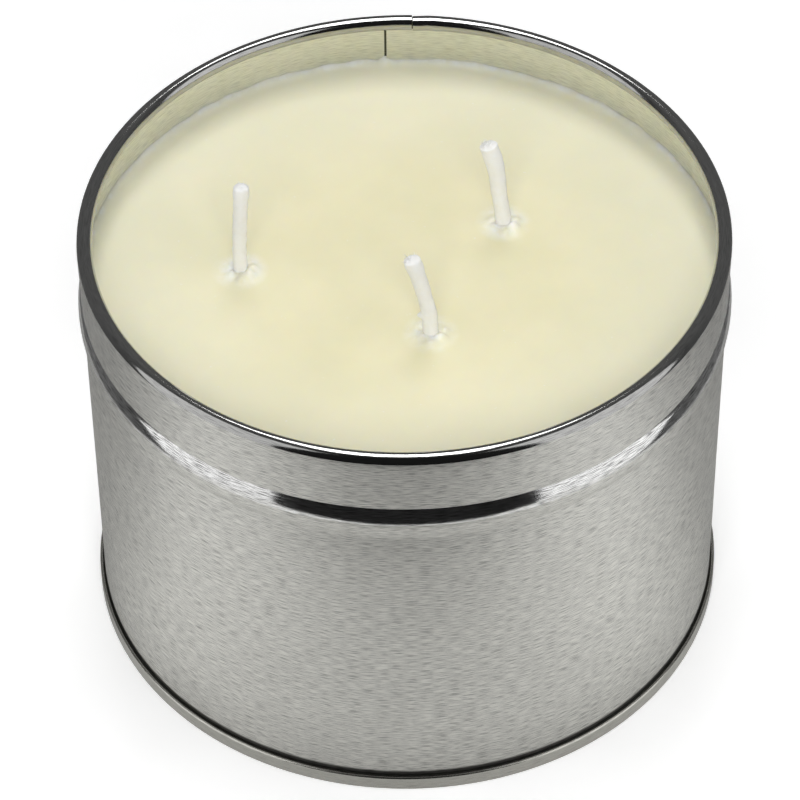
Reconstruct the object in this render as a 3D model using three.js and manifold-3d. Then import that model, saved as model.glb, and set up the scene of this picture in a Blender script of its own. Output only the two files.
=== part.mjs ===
// Candle tin: a seamed tinplate container, poured with wax round three wicks.
// The tinplate body has a lapped side seam, a rim curled inwards, a neck for a slip lid and a
// bead that stops the lid. A recessed base is double seamed on to it. Each wick stands in a
// crimped metal sustainer that a round sticker holds to the base.
// Millimetres, +Z up. The origin is the centre of the ring that the tin stands on, -Y is the
// front and the side seam is at the back.

import * as THREE from "three";
import { mergeVertices } from "three/addons/utils/BufferGeometryUtils.js";
import Module from "manifold-3d";

const wasm = await Module();
wasm.setup();

// Driving dimensions
const TIN_RADIUS = 54; // outside of the neck and of the rim curl
const TIN_HEIGHT = 80; // floor to the top of the rim curl
const PLATE = 0.23; // tinplate thickness
const WAX_LEVEL = 69;
const WICK_WIDTH = 2.6;

// Tin body
const BODY_RADIUS = TIN_RADIUS - 0.2;
const CURL_RADIUS = 1.3;
const CURL_STEPS = 12; // the curled edge stops just short of the inside wall
const CURL_STEP_DEG = 180 / 7; // an odd share of a half turn, so that one facet is level on top
const BEAD_MIDDLE_Z = 65.5;
const BEAD_HALF_HEIGHT = 3.2;
const BEAD_STANDS_PROUD = 0.75;
const BEAD_STEPS = 8;

// Side seam, measured as degrees round from the back towards +X
const LAP_FROM_DEG = -2.9;
const LAP_TO_DEG = 1.9;
const LAP_CLEAR_OF_CURL = 0.5;
const LAP_CLEAR_OF_BASE = 0.6;
const LAP_OVERLAP = 0.02; // how far the lap bites into the wall that it is joined to
const SLIT_WIDTH = 0.3;

// Double seam: five layers of plate, hooked into each other
const SEAM_GAP = 0.05; // left between one layer and the next
const SEAM_PITCH = PLATE + SEAM_GAP;
const SEAM_HEIGHT = 3;
const SEAM_CORNER = 0.36; // bend of the base's plate at the foot of the seam, at mid thickness
const HOOK_CORNER = 0.2; // bend of the body's plate inside it
const HOOK_TOP = 2.3;
const HOOK_FOOT = 0.95;
const SEALANT_HEIGHT = 0.28;

// Base
const PANEL_Z = 3.6; // middle of the plate
const PANEL_CORNER = 0.8;
const PANEL_RING_RADIUS = 46;
const PANEL_RING_HALF_WIDTH = 2;
const PANEL_RING_DEPTH = 0.7;

// Wax
const WAX_WALL_GAP = 0.35;
const WAX_FLOOR_GAP = 0.25;
const MENISCUS_WIDTH = 1.8;
const MENISCUS_RISE = 0.8;
const CAST_GAP = 0.3; // round what is cast into the wax

// Wicks and what holds them
const STICKER_RADIUS = 9.5;
const STICKER_THICKNESS = 0.8;
const SUSTAINER_RADIUS = 10;
const SUSTAINER_PLATE = 0.25;
const SUSTAINER_FILLET = 1;
const COLLAR_HEIGHT = 6;
const COLLAR_BORE = 1.5;
const STACK_GAP = 0.05; // between the base, a sticker and a sustainer
const WICK_THICKNESS = 2.3;
// Where each wick leaves the wax, how far it stands out of it, and how far its tip leans.
const WICKS = [
  { side: "left", x: -27.4, y: 0.7, height: 19.4, bend: 0.5, lean: [0.8, 0] },
  { side: "front", x: 4.2, y: -14.7, height: 16.6, bend: 0.35, lean: [-3, 0.3] },
  { side: "right", x: 16.8, y: 11.7, height: 17.2, bend: 0.55, lean: [-2.6, 0.4] },
];

// Facets
const ROUND_STEPS = 48;
const SMALL_ROUND_STEPS = 24;
const CORNER_STEPS = 3;
const WICK_SIDES = 10;
const WICK_STEPS = 18;

const MATERIALS = {
  tinplate: { color: 0xb9bab8, roughness: 0.32, metalness: 1 },
  sealant: { color: 0x6b6f6a, roughness: 0.8, metalness: 0 },
  wax: { color: 0xf1ecc9, roughness: 0.45, metalness: 0 },
  cotton: { color: 0xf6f5ee, roughness: 0.9, metalness: 0 },
  sustainer: { color: 0xc4c5c4, roughness: 0.4, metalness: 1 },
  sticker: { color: 0xfbfbf7, roughness: 0.85, metalness: 0 },
};

const point = (r, z) => new THREE.Vector2(r, z);
const radians = THREE.MathUtils.degToRad;

// The points of an arc in the (radius, height) plane, angles in degrees from outwards to up.
function arc(r, z, radius, fromDeg, toDeg, steps = CORNER_STEPS) {
  const clockwise = toDeg < fromDeg;
  const curve = new THREE.EllipseCurve(
    r, z, radius, radius, radians(fromDeg), radians(toDeg), clockwise,
  );
  return curve.getPoints(steps);
}

// The closed outline of a folded sheet whose mid thickness follows a line of points. A line
// that starts on the axis gives an outline that starts and ends there, as a disc needs.
function sheetOutline(middle, thickness = PLATE) {
  const last = middle.length - 1;
  const heading = (i) => middle[i + 1].clone().sub(middle[i]).normalize();
  const edge = (half) =>
    middle.map((at, i) => {
      const into = heading(Math.max(i - 1, 0));
      const out = heading(Math.min(i, last - 1));
      const along = into.clone().add(out).normalize();
      const mitre = half / along.dot(out);
      return point(at.x - along.y * mitre, at.y + along.x * mitre);
    });
  const outline = [...edge(thickness / 2), ...edge(-thickness / 2).reverse()];
  if (middle[0].x > 0) outline.push(outline[0].clone());
  return outline;
}

// Turns an outline round the Z axis.
function lathe(outline, steps = ROUND_STEPS) {
  const outwards = THREE.ShapeUtils.area(outline) > 0 ? outline : [...outline].reverse();
  return new THREE.LatheGeometry(outwards, steps).rotateX(Math.PI / 2);
}

// A solid for cutting and joining, from a closed geometry.
function solid(geometry) {
  const bare = geometry.clone();
  bare.deleteAttribute("normal");
  bare.deleteAttribute("uv");
  const merged = mergeVertices(bare);
  const vertProperties = merged.attributes.position.array;
  const triVerts = new Uint32Array(merged.index.array);
  return new wasm.Manifold(new wasm.Mesh({ numProp: 3, vertProperties, triVerts }));
}

function geometryOf(made) {
  const { vertProperties, triVerts } = made.getMesh();
  const geometry = new THREE.BufferGeometry();
  geometry.setAttribute("position", new THREE.BufferAttribute(vertProperties, 3));
  geometry.setIndex(new THREE.BufferAttribute(triVerts, 1));
  geometry.computeVertexNormals();
  return geometry;
}

function mesh(name, geometry, material) {
  const made = new THREE.Mesh(geometry, new THREE.MeshStandardMaterial(MATERIALS[material]));
  made.name = name;
  return made;
}

// The wall between the base and the rim, at mid thickness and going up: a plain body, the
// bead, and the neck, which stands out as far as the curl above it.
function wallLine(fromZ, toZ, inset = 0) {
  const body = BODY_RADIUS - PLATE / 2;
  const neck = TIN_RADIUS - PLATE / 2;
  const peak = BODY_RADIUS + BEAD_STANDS_PROUD - PLATE / 2;
  const rise = BEAD_STANDS_PROUD;
  const beadRadius = (BEAD_HALF_HEIGHT ** 2 + rise ** 2) / (2 * rise);
  const lowerDeg = THREE.MathUtils.radToDeg(Math.asin(BEAD_HALF_HEIGHT / beadRadius));
  const upperDeg = THREE.MathUtils.radToDeg(Math.acos(1 - (peak - neck) / beadRadius));
  const bead = arc(
    peak - beadRadius, BEAD_MIDDLE_Z, beadRadius, -lowerDeg, upperDeg, BEAD_STEPS,
  );
  const line = [point(body, fromZ), ...bead, point(neck, toZ)];
  return line.map((at) => point(at.x - inset, at.y));
}

// The plate is hooked up into the double seam at its foot and curled inwards at its top.
function bodyLine() {
  const wall = BODY_RADIUS - PLATE / 2;
  const hook = wall + 2 * SEAM_PITCH;
  const foot = PLATE + SEAM_GAP + PLATE / 2;
  const bendZ = foot + HOOK_CORNER;
  const curl = CURL_RADIUS - PLATE / 2;
  const topFacet = curl * Math.cos(radians(CURL_STEP_DEG / 2)) + PLATE / 2;
  const curlZ = TIN_HEIGHT - topFacet;
  return [
    point(hook, HOOK_TOP),
    ...arc(hook - HOOK_CORNER, bendZ, HOOK_CORNER, 0, -90),
    ...arc(wall + HOOK_CORNER, bendZ, HOOK_CORNER, -90, -180).slice(0, -1),
    ...wallLine(bendZ, curlZ).slice(0, -1),
    ...arc(TIN_RADIUS - CURL_RADIUS, curlZ, curl, 0, CURL_STEPS * CURL_STEP_DEG, CURL_STEPS),
  ];
}

// A wedge of the tin, seen from above, between two angles measured from the back.
function wedge(fromDeg, toDeg, fromZ, toZ) {
  const reach = 2 * TIN_RADIUS;
  const corner = (deg) => [reach * Math.sin(radians(deg)), reach * Math.cos(radians(deg))];
  const shape = new THREE.Shape();
  shape.moveTo(0, 0);
  shape.lineTo(...corner(toDeg));
  shape.lineTo(...corner(fromDeg));
  const geometry = new THREE.ExtrudeGeometry(shape, { depth: toZ - fromZ, bevelEnabled: false });
  return geometry.translate(0, 0, fromZ);
}

function tinBody() {
  const shell = solid(lathe(sheetOutline(bodyLine())));
  const curlFoot = TIN_HEIGHT - 2 * CURL_RADIUS;
  const lapFoot = PANEL_Z + PLATE / 2 + LAP_CLEAR_OF_BASE;
  const lapTop = curlFoot - LAP_CLEAR_OF_CURL;
  const lapRing = solid(lathe(sheetOutline(wallLine(lapFoot, lapTop, PLATE - LAP_OVERLAP))));
  const lap = lapRing.intersect(solid(wedge(LAP_FROM_DEG, LAP_TO_DEG, 0, TIN_HEIGHT)));
  const slitDeg = THREE.MathUtils.radToDeg(SLIT_WIDTH / TIN_RADIUS);
  const slit = solid(wedge(LAP_TO_DEG, LAP_TO_DEG + slitDeg, curlFoot, TIN_HEIGHT + 1));
  return mesh("tin_body", geometryOf(shell.add(lap).subtract(slit)), "tinplate");
}

// The base: panel, expansion ring, wall of the recess, then the two outer folds of the seam.
function baseEnd() {
  const recess = BODY_RADIUS - PLATE / 2 - SEAM_PITCH;
  const outer = recess + 4 * SEAM_PITCH;
  const hook = recess + 2 * SEAM_PITCH;
  const footZ = PLATE / 2;
  const topCorner = (outer - hook) / 2;
  const topZ = SEAM_HEIGHT - PLATE / 2 - topCorner;
  const ring = [-1, -0.5, 0, 0.5, 1].map((at) =>
    point(
      PANEL_RING_RADIUS + at * PANEL_RING_HALF_WIDTH,
      PANEL_Z - PANEL_RING_DEPTH * Math.cos((at * Math.PI) / 2) ** 2,
    ),
  );
  const line = [
    point(0, PANEL_Z),
    ...ring,
    ...arc(recess - PANEL_CORNER, PANEL_Z - PANEL_CORNER, PANEL_CORNER, 90, 0),
    ...arc(recess + SEAM_CORNER, footZ + SEAM_CORNER, SEAM_CORNER, 180, 270),
    ...arc(outer - SEAM_CORNER, footZ + SEAM_CORNER, SEAM_CORNER, -90, 0),
    ...arc(hook + topCorner, topZ, topCorner, 0, 180, 2 * CORNER_STEPS),
    point(hook, HOOK_FOOT),
  ];
  return mesh("base_end", lathe(sheetOutline(line)), "tinplate");
}

// Sealing compound, in the space between the top of the body's hook and the fold over it.
function seamSealant() {
  const inner = BODY_RADIUS + SEAM_PITCH + SEAM_GAP;
  const outer = inner + PLATE - SEAM_GAP;
  const foot = HOOK_TOP + SEAM_GAP;
  const outline = [
    point(inner, foot),
    point(outer, foot),
    point(outer, foot + SEALANT_HEIGHT),
    point(inner, foot + SEALANT_HEIGHT),
    point(inner, foot),
  ];
  return mesh("base_seam_sealant", lathe(outline), "sealant");
}

const STICKER_Z = PANEL_Z + PLATE / 2 + STACK_GAP;
const SUSTAINER_Z = STICKER_Z + STICKER_THICKNESS + STACK_GAP;
const COLLAR_TOP = SUSTAINER_Z + SUSTAINER_PLATE + COLLAR_HEIGHT;
const COLLAR_RADIUS = COLLAR_BORE + SUSTAINER_PLATE;

function wickSticker({ side, x, y }) {
  const geometry = new THREE.CylinderGeometry(
    STICKER_RADIUS, STICKER_RADIUS, STICKER_THICKNESS, SMALL_ROUND_STEPS,
  );
  geometry.rotateX(Math.PI / 2);
  const made = mesh(`${side}_wick_sticker`, geometry, "sticker");
  made.position.set(x, y, STICKER_Z + STICKER_THICKNESS / 2);
  return made;
}

// A pressed disc with a collar in its middle that is crimped round the wick.
function wickSustainer({ side, x, y }) {
  const half = SUSTAINER_PLATE / 2;
  const collar = COLLAR_BORE + half;
  const line = [
    point(SUSTAINER_RADIUS, half),
    ...arc(collar + SUSTAINER_FILLET, half + SUSTAINER_FILLET, SUSTAINER_FILLET, 270, 180),
    point(collar, COLLAR_HEIGHT + SUSTAINER_PLATE),
  ];
  const geometry = lathe(sheetOutline(line, SUSTAINER_PLATE), SMALL_ROUND_STEPS);
  const made = mesh(`${side}_wick_sustainer`, geometry, "sustainer");
  made.position.set(x, y, SUSTAINER_Z);
  return made;
}

// A flat braided wick, upright as far as the wax holds it and leaning above that.
function wick({ side, x, y, height, bend, lean }) {
  const [leanX, leanY] = lean;
  const foot = SUSTAINER_Z + STACK_GAP;
  const route = new THREE.CatmullRomCurve3([
    new THREE.Vector3(x, y, foot),
    new THREE.Vector3(x, y, (foot + WAX_LEVEL) / 2),
    new THREE.Vector3(x, y, WAX_LEVEL),
    new THREE.Vector3(x + leanX * 0.12, y + leanY * 0.12, WAX_LEVEL + height * bend),
    new THREE.Vector3(x + leanX, y + leanY, WAX_LEVEL + height),
  ]);
  const section = new THREE.Shape();
  section.absellipse(0, 0, WICK_THICKNESS / 2, WICK_WIDTH / 2, 0, 2 * Math.PI);
  const geometry = new THREE.ExtrudeGeometry(section, {
    extrudePath: route,
    steps: WICK_STEPS,
    curveSegments: WICK_SIDES / 2, // an ellipse gets two sides for each
  });
  return mesh(`${side}_wick`, geometry, "cotton");
}

// The space that a sticker, a sustainer and a wick take out of the wax, with a gap round them.
function wickWell({ x, y }) {
  const discTop = SUSTAINER_Z + SUSTAINER_PLATE + CAST_GAP;
  const fillet = SUSTAINER_FILLET - SUSTAINER_PLATE;
  const collar = COLLAR_RADIUS + CAST_GAP;
  const wickHole = WICK_WIDTH / 2 + CAST_GAP;
  const outline = [
    point(0, 0),
    point(SUSTAINER_RADIUS + CAST_GAP, 0),
    point(SUSTAINER_RADIUS + CAST_GAP, discTop),
    point(collar + fillet, discTop),
    point(collar, discTop + fillet),
    point(collar, COLLAR_TOP + CAST_GAP),
    point(wickHole, COLLAR_TOP + CAST_GAP),
    point(wickHole, TIN_HEIGHT),
    point(0, TIN_HEIGHT),
  ];
  return solid(lathe(outline, SMALL_ROUND_STEPS).translate(x, y, 0));
}

// The wax follows the inside of the wall and climbs it a little at the edge.
function waxFill() {
  const floor = PANEL_Z + PLATE / 2 + WAX_FLOOR_GAP;
  const top = WAX_LEVEL + MENISCUS_RISE;
  const sides = wallLine(floor, top, PLATE / 2 + WAX_WALL_GAP);
  const edge = sides[sides.length - 1].x;
  const meniscus = [1, 0.7, 0.35, 0].map((at) =>
    point(edge - MENISCUS_WIDTH * (1 - at), WAX_LEVEL + MENISCUS_RISE * at ** 2),
  );
  const outline = [point(0, floor), ...sides.slice(0, -1), ...meniscus, point(0, WAX_LEVEL)];
  const wells = WICKS.map(wickWell);
  const poured = wells.reduce((wax, well) => wax.subtract(well), solid(lathe(outline)));
  return mesh("wax_fill", geometryOf(poured), "wax");
}

const candleTin = new THREE.Group();
candleTin.name = "candle_tin";
candleTin.add(tinBody(), baseEnd(), seamSealant(), waxFill());
for (const placed of WICKS) {
  candleTin.add(wickSticker(placed), wickSustainer(placed), wick(placed));
}

export default candleTin;
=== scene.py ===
"""Looks for the candle tin: tinplate, double-seamed base, poured wax and braided wicks.

Everything is in metres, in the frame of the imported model: +Z up, the origin under the middle of
the tin, -Y the front, and the lapped side seam at the back. Angles round the tin are in degrees
from the back towards +X, so 180 is the front.
"""

import math
import random
from math import radians

import bmesh
import bpy
import numpy as np
from mathutils import Matrix, Quaternion, Vector, noise
from mathutils.geometry import delaunay_2d_cdt


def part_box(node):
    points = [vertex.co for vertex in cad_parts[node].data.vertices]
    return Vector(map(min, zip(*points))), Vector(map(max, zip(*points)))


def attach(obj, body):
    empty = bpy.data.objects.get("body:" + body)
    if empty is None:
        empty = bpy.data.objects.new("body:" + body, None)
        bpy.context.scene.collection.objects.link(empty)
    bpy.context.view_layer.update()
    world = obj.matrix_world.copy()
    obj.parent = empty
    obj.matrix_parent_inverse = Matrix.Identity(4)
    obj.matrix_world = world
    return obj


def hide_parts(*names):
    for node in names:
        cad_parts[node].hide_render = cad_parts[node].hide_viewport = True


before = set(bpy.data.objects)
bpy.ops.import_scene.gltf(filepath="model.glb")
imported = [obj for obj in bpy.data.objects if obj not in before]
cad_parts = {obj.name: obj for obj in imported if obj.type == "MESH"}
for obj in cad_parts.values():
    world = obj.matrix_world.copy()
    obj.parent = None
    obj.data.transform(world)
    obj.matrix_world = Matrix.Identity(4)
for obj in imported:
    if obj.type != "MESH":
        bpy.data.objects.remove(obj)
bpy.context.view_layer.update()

MM = 0.001
BODY = "root"

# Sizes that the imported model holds
BODY_LOW, BODY_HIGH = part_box("tin_body")
BASE_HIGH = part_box("base_end")[1]
RIM_Z = BODY_HIGH[2]
BEAD_RADIUS = BODY_HIGH[0]

# Tin body
PLATE = 0.23 * MM
TIN_RADIUS = 54 * MM
BODY_RADIUS = TIN_RADIUS - 0.2 * MM
CURL_RADIUS = 1.3 * MM
CURL_END_DEG = 310
CURL_STEPS = 40
BODY_COLUMNS = 276
BEAD_Z = 65.5 * MM
BEAD_HALF_HEIGHT = 3.2 * MM
BEAD_EDGE = 0.35 * MM
BEAD_SHINE = 0.1 * MM  # from here up, the bead is rubbed smooth
CURL_SHINE = 0.8  # how far down the curl is polished, in curl radii
NECK_FLARE = 0.16 * MM
WAIST_DEPTH = 0.1 * MM
WAIST_HEIGHT = 9 * MM
WALL_STEP = 1.4 * MM
BEAD_STEP = 0.14 * MM
BEAD_MARGIN = 1.2 * MM
RIPPLE = 0.035 * MM
RIPPLE_HEIGHT = 45 * MM

# Side seam
LAP_FROM_DEG = -2.9
LAP_TO_DEG = 1.9
LAP_RAMP_DEG = 3.5
LAP_STEP_DEG = 0.6
LAP_FOOT_Z = 4.3 * MM
LAP_GAP = 0.01 * MM
SLIT_DEG = 0.22
CREVICE_DEG = 0.42
TONGUE_DEG = 1.2
TONGUE_STEP_DEG = 0.04

# Double seam and base
SEAM_PITCH = PLATE + 0.05 * MM
SEAM_HEIGHT = 3 * MM
SEAM_CORNER = 0.36 * MM
HOOK_CORNER = 0.2 * MM
HOOK_TOP = 2.3 * MM
HOOK_FOOT = 0.95 * MM
PANEL_Z = BASE_HIGH[2] - PLATE / 2
PANEL_CORNER = 0.8 * MM
PANEL_RING_RADIUS = 46 * MM
PANEL_RING_HALF_WIDTH = 2 * MM
PANEL_RING_DEPTH = 0.7 * MM
FLAT_GRAIN_RADIUS = 52 * MM

# Wax
WAX_LEVEL = 69 * MM
WAX_EDGE_GAP = 0.02 * MM
WAX_FLOOR_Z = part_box("wax_fill")[0][2]
WAX_COLUMNS = 540
WAX_TURNS = [360 * i / WAX_COLUMNS for i in range(WAX_COLUMNS)]
WAX_RING_PITCH = 1.3 * MM
WAX_RIM_WIDTH = 3 * MM
MENISCUS_WIDTH = 1.9 * MM
MENISCUS_RISE = 0.75 * MM
LAP_PEAK_HEIGHT = 0.9 * MM
LAP_PEAK_WIDTH = 0.8 * MM
LAP_PEAK_REACH = 1.6 * MM
MOUND_RADIUS = 5 * MM
# Lumps of set wax by each wick: place from the wick's middle, radius and height
DRIPS = [
    (1.7 * MM, -1.2 * MM, 0.9 * MM, 0.75 * MM),
    (0.1 * MM, -2.5 * MM, 0.8 * MM, 0.5 * MM),
    (2.4 * MM, 0.5 * MM, 0.6 * MM, 0.45 * MM),
    (-1.6 * MM, -1.0 * MM, 0.6 * MM, 0.4 * MM),
]

# Marks in the tinplate: how long along the sheet and how wide across it
DASH = (2.4 * MM, 0.13 * MM)
LINE = (8 * MM, 0.08 * MM)
CLOUD = (16 * MM, 11 * MM)
WANDER = (5 * MM, 5 * MM)
WANDER_REACH = 0.35 * MM
# How high and how soft the painted shade along a crevice in the tinplate is
CREVICE_SHADE_HALF_HEIGHT = 0.4 * MM
CREVICE_SHADE_FADE = 0.45 * MM

# Wicks and what holds them
SUSTAINER_PLATE = 0.25 * MM
SUSTAINER_FILLET = 1 * MM
COLLAR_BORE = 1.5 * MM
CRIMP = 0.22 * MM
WICK_HALF_WIDTH = 1.3 * MM
WICK_HALF_DEPTH = 1.15 * MM
BRAID_PITCH = 5.2 * MM
BRAID_STRANDS = 4
BRAID_RELIEF = 0.07 * MM
BRAID_SIDES = 72
CUT_END_RELIEF = 0.04 * MM
CUT_END_DEGREES = (18, 36, 52, 66, 78)
FRAYED_FIBRES = 70
LOOSE_FIBRES = 60
LOOSE_REACH = 170  # how many steps of the wick, from its end down, carry loose fibres
WELL_SIDES = 64
WAX_GRIP = 0.84  # how far into the braid the wax reaches, as a share of its half width

# For each wick: its lean in mm along X and Y and its width, at shares of the height it stands
# out of the wax, then how far its cut end bulges and the height share of a bump on its left.
WICKS = {
    "left": {
        "lean": [(0, 0, 0), (0.35, 0.1, 0), (0.7, 0.45, 0), (1, 0.8, 0)],
        "width": [(0, 0.96), (0.12, 0.9), (0.85, 0.93), (0.93, 1.03), (1, 1.0)],
        "bulge": 0.8 * MM,
        "bump": None,
    },
    "front": {
        "lean": [(0, 0, 0), (0.16, -0.15, 0), (0.3, -0.3, 0), (0.45, -0.8, 0.1), (0.65, -1.5, 0.2),
                 (1, -3.0, 0.3)],
        "width": [(0, 1.0), (0.2, 0.96), (0.3, 1.0), (0.45, 0.95), (0.8, 1.0), (0.93, 1.14), (1, 1.1)],
        "bulge": 0.45 * MM,
        "bump": 0.27,
    },
    "right": {
        "lean": [(0, 0, 0), (0.2, -0.35, 0), (0.4, -0.85, 0.1), (0.6, -1.15, 0.2), (0.8, -1.75, 0.3),
                 (1, -2.7, 0.4)],
        "width": [(0, 1.02), (0.3, 1.0), (0.6, 1.06), (0.85, 1.2), (1, 1.16)],
        "bulge": 0.2 * MM,
        "bump": None,
    },
}


def arc(r, z, radius, from_deg, to_deg, steps):
    """Points of an arc in the (radius, height) plane, angles from outwards to up."""
    turns = np.radians(np.linspace(from_deg, to_deg, steps + 1))
    return [(r + radius * math.cos(a), z + radius * math.sin(a)) for a in turns]


def spaced(start, end, steps):
    """Points from start up to, but without, end."""
    return [tuple(np.array(start) + (np.array(end) - start) * i / steps) for i in range(steps)]


def smooth_step(x):
    x = np.clip(x, 0, 1)
    return x * x * (3 - 2 * x)


def place_at(r, angle, z):
    """The point at a radius, an angle round the tin and a height."""
    a = radians(angle)
    return (r * math.sin(a), r * math.cos(a), z)


# ---------------------------------------------------------------- meshes


def faces_of(line, half):
    """A line of (radius, height) points moved sideways to a face of the sheet it runs in."""
    line = np.array(line)
    ahead = np.diff(line, axis=0)
    ahead /= np.linalg.norm(ahead, axis=1)[:, None]
    into = np.vstack([ahead[:1], ahead])
    out = np.vstack([ahead, ahead[-1:]])
    along = into + out
    along /= np.linalg.norm(along, axis=1)[:, None]
    mitre = half / np.sum(along * out, axis=1)
    return line + np.column_stack([along[:, 1], -along[:, 0]]) * mitre[:, None]


def object_of(name, bm, *materials, sharp_deg=40):
    mesh = bpy.data.meshes.new(name)
    bmesh.ops.recalc_face_normals(bm, faces=bm.faces)
    bm.to_mesh(mesh)
    bm.free()
    mesh.shade_smooth()
    mesh.set_sharp_from_angle(angle=radians(sharp_deg))
    for material in materials:
        mesh.materials.append(material)
    made = bpy.data.objects.new(name, mesh)
    bpy.context.scene.collection.objects.link(made)
    return made


def sheet_mesh(
    section, angles, keep=None, wrap=False, inset=None, ripple=None, thickness=PLATE
):
    """A bent sheet of plate as one closed mesh.

    section is the middle of the sheet as (radius, height) points, which angles (degrees) sweep
    round the tin. keep says which cells of that grid are there, and inset how far each angle's
    section stands in. Each boundary, of a hole as well, is closed through the plate's thickness.
    Its UV map, "sheet", is in metres along the sheet.
    """
    line = np.array(section)
    sides = [faces_of(section, half) for half in (thickness / 2, -thickness / 2)]
    columns, rows = len(angles), len(line)
    inset = np.zeros(columns) if inset is None else inset
    cells = columns if wrap else columns - 1
    if keep is None:
        keep = np.ones((cells, rows - 1), bool)
    lengths = np.linalg.norm(np.diff(line, axis=0), axis=1)
    height = np.concatenate([[0], np.cumsum(lengths)])
    around = np.radians(np.append(angles, angles[0] + 360 if wrap else angles[-1])) * TIN_RADIUS

    bm = bmesh.new()
    grid = []
    for side in sides:
        for i, angle in enumerate(angles):
            for r, z in side:
                out, up = (0.0, 0.0) if ripple is None else ripple(angle, r, z)
                grid.append(bm.verts.new(place_at(r - inset[i] + out, angle, z + up)))
    uv = bm.loops.layers.uv.new("sheet")

    def corner(side, i, j):
        return grid[(side * columns + i % columns) * rows + j], (around[i], height[j])

    def face(*corners):
        made = bm.faces.new([vert for vert, _ in corners])
        for loop, (_, place) in zip(made.loops, corners):
            loop[uv].uv = place

    def there(i, j):
        if wrap:
            i %= cells
        return 0 <= i < cells and 0 <= j < rows - 1 and keep[i, j]

    for i in range(cells):
        for j in range(rows - 1):
            if not keep[i, j]:
                continue
            for side in (0, 1):
                turn = [(i, j), (i + 1, j), (i + 1, j + 1), (i, j + 1)]
                face(*[corner(side, *at) for at in (turn if side == 0 else turn[::-1])])
            borders = (
                ((i, j - 1), (i, j), (i + 1, j)),
                ((i + 1, j), (i + 1, j), (i + 1, j + 1)),
                ((i, j + 1), (i + 1, j + 1), (i, j + 1)),
                ((i - 1, j), (i, j + 1), (i, j)),
            )
            for beyond, start, end in borders:
                if not there(*beyond):
                    face(corner(0, *end), corner(0, *start), corner(1, *start), corner(1, *end))
    bmesh.ops.remove_doubles(bm, verts=bm.verts, dist=1e-8)
    loose = [v for v in bm.verts if not v.link_faces]
    bmesh.ops.delete(bm, geom=loose, context="VERTS")
    return bm


def strip(bm, first, second):
    """Faces between two rings of as many points each."""
    for i in range(len(first)):
        j = (i + 1) % len(first)
        bm.faces.new((first[i], first[j], second[j], second[i]))


def tube(bm, rings):
    """Faces along some rings of vertices, with both ends closed."""
    for first, second in zip(rings, rings[1:]):
        strip(bm, first, second)
    bm.faces.new(rings[0][::-1])
    bm.faces.new(rings[-1])


def turned_mesh(outline, steps, centre=(0, 0)):
    """A closed outline of (radius, height) points turned round an upright axis."""
    bm = bmesh.new()
    rings = []
    for r, z in outline:
        ring = []
        for i in range(steps):
            a = 2 * math.pi * i / steps
            way = Vector((math.cos(a), math.sin(a), 0))
            ring.append(bm.verts.new(Vector((*centre, z)) + way * r))
        rings.append(ring)
    for first, second in zip(rings, rings[1:] + rings[:1]):
        strip(bm, first, second)
    bmesh.ops.remove_doubles(bm, verts=bm.verts, dist=1e-7)
    return bm


# ---------------------------------------------------------------- materials


def add(tree, kind, inputs=None, **settings):
    """A node with its settings and inputs. An input is a number, a colour or a socket."""
    made = tree.nodes.new(kind)
    for key, value in settings.items():
        setattr(made, key, value)
    for key, value in (inputs or {}).items():
        if isinstance(value, bpy.types.NodeSocket):
            tree.links.new(value, made.inputs[key])
        else:
            made.inputs[key].default_value = value
    return made


def material(name):
    made = bpy.data.materials.new(name)
    made.use_nodes = True
    tree = made.node_tree
    return made, tree, tree.nodes["Principled BSDF"]


def maths(tree, operation, a, b=0.0):
    return add(tree, "ShaderNodeMath", {0: a, 1: b}, operation=operation).outputs[0]


def span(tree, value, low, high, new_low, new_high):
    """value stretched from low..high to new_low..new_high, and held inside it."""
    inputs = {"Value": value, 1: low, 2: high, 3: new_low, 4: new_high}
    return add(tree, "ShaderNodeMapRange", inputs).outputs[0]


def noise_of(tree, place, scale, detail=2.0, roughness=0.5):
    inputs = {"Vector": place, "Scale": scale, "Detail": detail, "Roughness": roughness}
    return add(tree, "ShaderNodeTexNoise", inputs).outputs[0]


def blend(tree, share, first, second):
    """A colour between two: share 0 is the first and 1 the second."""
    inputs = {0: share, 6: first, 7: second}
    return add(tree, "ShaderNodeMix", inputs, data_type="RGBA").outputs[2]


def tinted(tree, colour, shade):
    """A colour made darker or lighter by a factor."""
    return add(tree, "ShaderNodeVectorMath", {0: colour, 3: shade}, operation="SCALE").outputs[0]


def relief_of(tree, shader, height, depth):
    """Bumps the shader's surface by a height from 0 to 1, depth metres deep."""
    bump = add(tree, "ShaderNodeBump", {"Height": height, "Strength": 1.0, "Distance": depth})
    tree.links.new(bump.outputs[0], shader.inputs["Normal"])


def stretched(tree, place, along, across):
    """place in units of one mark, which is along by across metres in size."""
    inputs = {0: place, 1: (1 / along, 1 / across, 1)}
    return add(tree, "ShaderNodeVectorMath", inputs, operation="MULTIPLY").outputs[0]


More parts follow.
